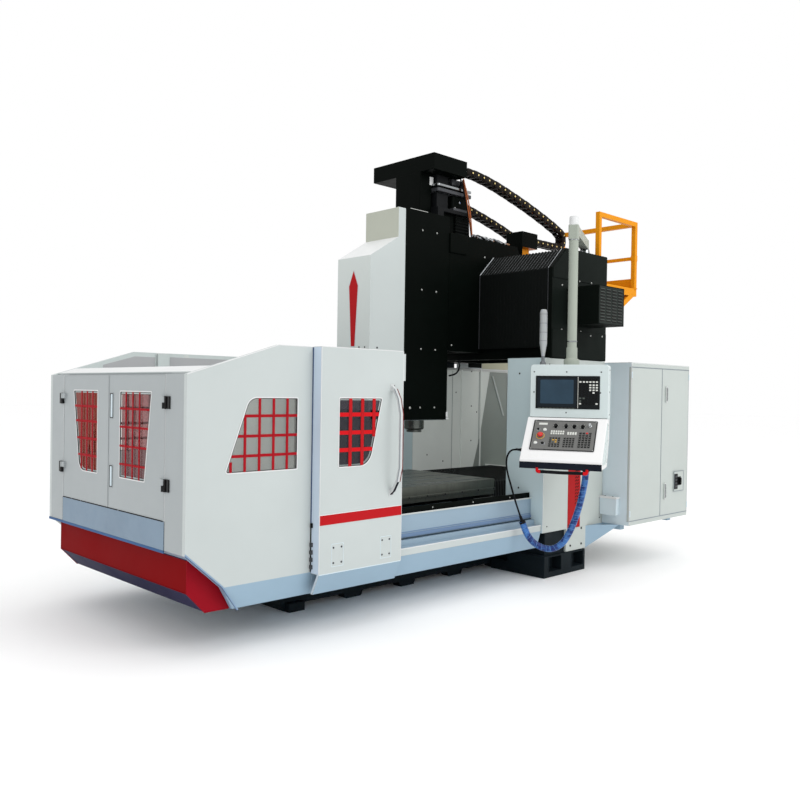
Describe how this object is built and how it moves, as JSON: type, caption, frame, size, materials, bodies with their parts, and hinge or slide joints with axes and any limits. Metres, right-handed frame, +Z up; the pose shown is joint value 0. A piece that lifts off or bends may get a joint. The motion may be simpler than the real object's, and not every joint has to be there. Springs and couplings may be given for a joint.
{
  "type": "machining centre",
  "caption": "Bridge-type CNC machining centre with a travelling table, vertical ram head, sheet-metal guards, electrical cabinet and hanging control pendant.",
  "frame": {"origin": "On the floor at the middle of the four anchor bolts of the bed, on the machine's centre plane.", "axes": "+X along the bed from the chip doors to the cabinet end, +Y along the crossbeam away from the operator, +Z up."},
  "size_m": [5.163, 2.5412, 3.485],
  "materials": {
    "guard_paint": "semi-gloss powder coat",
    "skirt_paint": "semi-gloss powder coat",
    "red_paint": "semi-gloss powder coat",
    "window_pane": "smoked polycarbonate",
    "black_casting": "satin machine enamel",
    "orange_frame": "gloss enamel",
    "cabinet_paint": "fine textured powder coat",
    "pendant_paint": "semi-gloss powder coat",
    "arm_paint": "satin enamel",
    "ground_steel": "ground",
    "machined_iron": "milled and oiled",
    "bellows": "folded coated cloth",
    "chain_plastic": "moulded nylon",
    "motor_black": "satin",
    "panel_face": "membrane film",
    "knob_black": "moulded",
    "stop_red": "moulded",
    "lamp_lens": "clear ribbed",
    "handle_paint": "gloss",
    "hose_blue": "woven protective sleeve",
    "cable_black": "sheath"
  },
  "bodies": {
    "frame": {"bed": "black_casting", "guide_rails": "ground_steel", "x_servo_motor": "motor_black", "y_servo_motor": "motor_black", "near_column": "black_casting", "far_column": "black_casting", "crossbeam": "black_casting", "y_motor_cover": "guard_paint", "service_platform": "orange_frame", "near_side_panel": "guard_paint", "far_side_panel": "guard_paint", "near_side_window": "window_pane", "front_frame": "guard_paint", "end_door_hinges": "ground_steel", "bow_bumper": "red_paint", "doorway_sill": "skirt_paint", "column_covers": "guard_paint", "cabinet": "cabinet_paint", "rear_guard": "guard_paint", "x_bellows_front": "bellows", "x_bellows_rear": "bellows", "y_bellows_near": "bellows", "y_bellows_far": "bellows", "arm_post": "arm_paint"},
    "table": {"table": "machined_iron", "table_carriages": "ground_steel"},
    "x_screw": {"x_ball_screw": "ground_steel"},
    "y_screw": {"y_ball_screw": "ground_steel"},
    "z_screw": {"z_ball_screw": "ground_steel"},
    "saddle": {"saddle": "black_casting", "chain_box": "black_casting", "z_chain": "chain_plastic", "air_chain": "chain_plastic"},
    "ram": {"ram": "black_casting", "head_fairing": "guard_paint", "spindle_housing": "ground_steel", "spindle_motor": "motor_black", "top_cap": "black_casting", "z_servo_motor": "motor_black"},
    "spindle": {"spindle": "ground_steel"},
    "near_end_door": {"near_end_door": "guard_paint", "near_end_window": "window_pane"},
    "far_end_door": {"far_end_door": "guard_paint", "far_end_window": "window_pane"},
    "sliding_door": {"sliding_door": "guard_paint", "sliding_door_window": "window_pane", "door_handle": "handle_paint"},
    "cabinet_door_left": {"cabinet_door_left": "cabinet_paint"},
    "cabinet_door_right": {"cabinet_door_right": "cabinet_paint"},
    "breaker_knob": {"breaker_knob": "knob_black"},
    "arm": {"pendant_arm": "arm_paint"},
    "pendant": {"pendant_box": "pendant_paint", "operator_panel": "panel_face", "pendant_handle": "knob_black", "signal_lamp": "lamp_lens", "panel_lead": "cable_black", "hose_sleeve": "hose_blue"},
    "e_stop": {"e_stop": "stop_red"},
    "feed_knob": {"feed_knob": "knob_black"},
    "spindle_knob": {"spindle_knob": "knob_black"}
  },
  "joints": [
    {"name": "table_travel", "type": "slide", "parent": "frame", "child": "table", "axis": [1, 0, 0], "range_m": [-0.45, 0.75], "deforming": ["x_bellows_front", "x_bellows_rear"]},
    {"name": "saddle_travel", "type": "slide", "parent": "frame", "child": "saddle", "axis": [0, 1, 0], "range_m": [-0.62, 0.57], "deforming": ["y_bellows_near", "y_bellows_far"]},
    {"name": "ram_travel", "type": "slide", "parent": "saddle", "child": "ram", "axis": [0, 0, 1], "range_m": [-0.18, 0.5], "deforming": ["z_chain", "air_chain"]},
    {"name": "spindle_spin", "type": "hinge", "parent": "ram", "child": "spindle", "pos_m": [0.18, 0.025, 1.3], "axis": [0, 0, 1], "continuous": true},
    {"name": "x_screw_spin", "type": "hinge", "parent": "frame", "child": "x_screw", "pos_m": [0, 0, 0.606], "axis": [1, 0, 0], "range_deg": [-10200, 16900]},
    {"name": "y_screw_spin", "type": "hinge", "parent": "frame", "child": "y_screw", "pos_m": [0.816, 0, 2.2], "axis": [0, 1, 0], "range_deg": [-14000, 13100]},
    {"name": "z_screw_spin", "type": "hinge", "parent": "ram", "child": "z_screw", "pos_m": [0.65, 0.025, 2.6], "axis": [0, 0, 1], "range_deg": [-4100, 11300]},
    {"name": "door_slide", "type": "slide", "parent": "frame", "child": "sliding_door", "axis": [1, 0, 0], "range_m": [0, 1.15]},
    {"name": "near_end_door_hinge", "type": "hinge", "parent": "frame", "child": "near_end_door", "pos_m": [-2.522, -0.695, 1.16], "axis": [0, 0, 1], "range_deg": [0, 110]},
    {"name": "far_end_door_hinge", "type": "hinge", "parent": "frame", "child": "far_end_door", "pos_m": [-2.522, 0.695, 1.16], "axis": [0, 0, 1], "range_deg": [-110, 0]},
    {"name": "cabinet_left_hinge", "type": "hinge", "parent": "frame", "child": "cabinet_door_left", "pos_m": [1.592, -1.2065, 1.07], "axis": [0, 0, 1], "range_deg": [-110, 0]},
    {"name": "cabinet_right_hinge", "type": "hinge", "parent": "frame", "child": "cabinet_door_right", "pos_m": [2.625, -1.2065, 1.07], "axis": [0, 0, 1], "range_deg": [0, 110]},
    {"name": "breaker_turn", "type": "hinge", "parent": "cabinet_door_right", "child": "breaker_knob", "pos_m": [2.446, -1.22, 0.708], "axis": [0, -1, 0], "range_deg": [0, 90]},
    {"name": "arm_swing", "type": "hinge", "parent": "frame", "child": "arm", "pos_m": [1.385, -0.842, 2.8], "axis": [0, 0, 1], "range_deg": [0, 75]},
    {"name": "pendant_swivel", "type": "hinge", "parent": "arm", "child": "pendant", "pos_m": [0.76, -1.15, 1.9], "axis": [0, 0, 1], "range_deg": [0, 65]},
    {"name": "e_stop_press", "type": "slide", "parent": "pendant", "child": "e_stop", "axis": [0.67, 0.3092, -0.6749], "range_m": [0, 0.004], "stiffness_N_per_m": 900, "springref_m": -0.004},
    {"name": "feed_knob_turn", "type": "hinge", "parent": "pendant", "child": "feed_knob", "pos_m": [0.55864, -1.15151, 1.25386], "axis": [-0.67, -0.3092, 0.6749], "range_deg": [-140, 140]},
    {"name": "spindle_knob_turn", "type": "hinge", "parent": "pendant", "child": "spindle_knob", "pos_m": [0.59215, -1.22415, 1.25386], "axis": [-0.67, -0.3092, 0.6749], "range_deg": [-140, 140]}
  ],
  "couplings": [
    {"joint": "x_screw_spin", "follows": "table_travel", "rad_per_m": 392.7},
    {"joint": "y_screw_spin", "follows": "saddle_travel", "rad_per_m": 392.7},
    {"joint": "z_screw_spin", "follows": "ram_travel", "rad_per_m": 392.7}
  ]
}
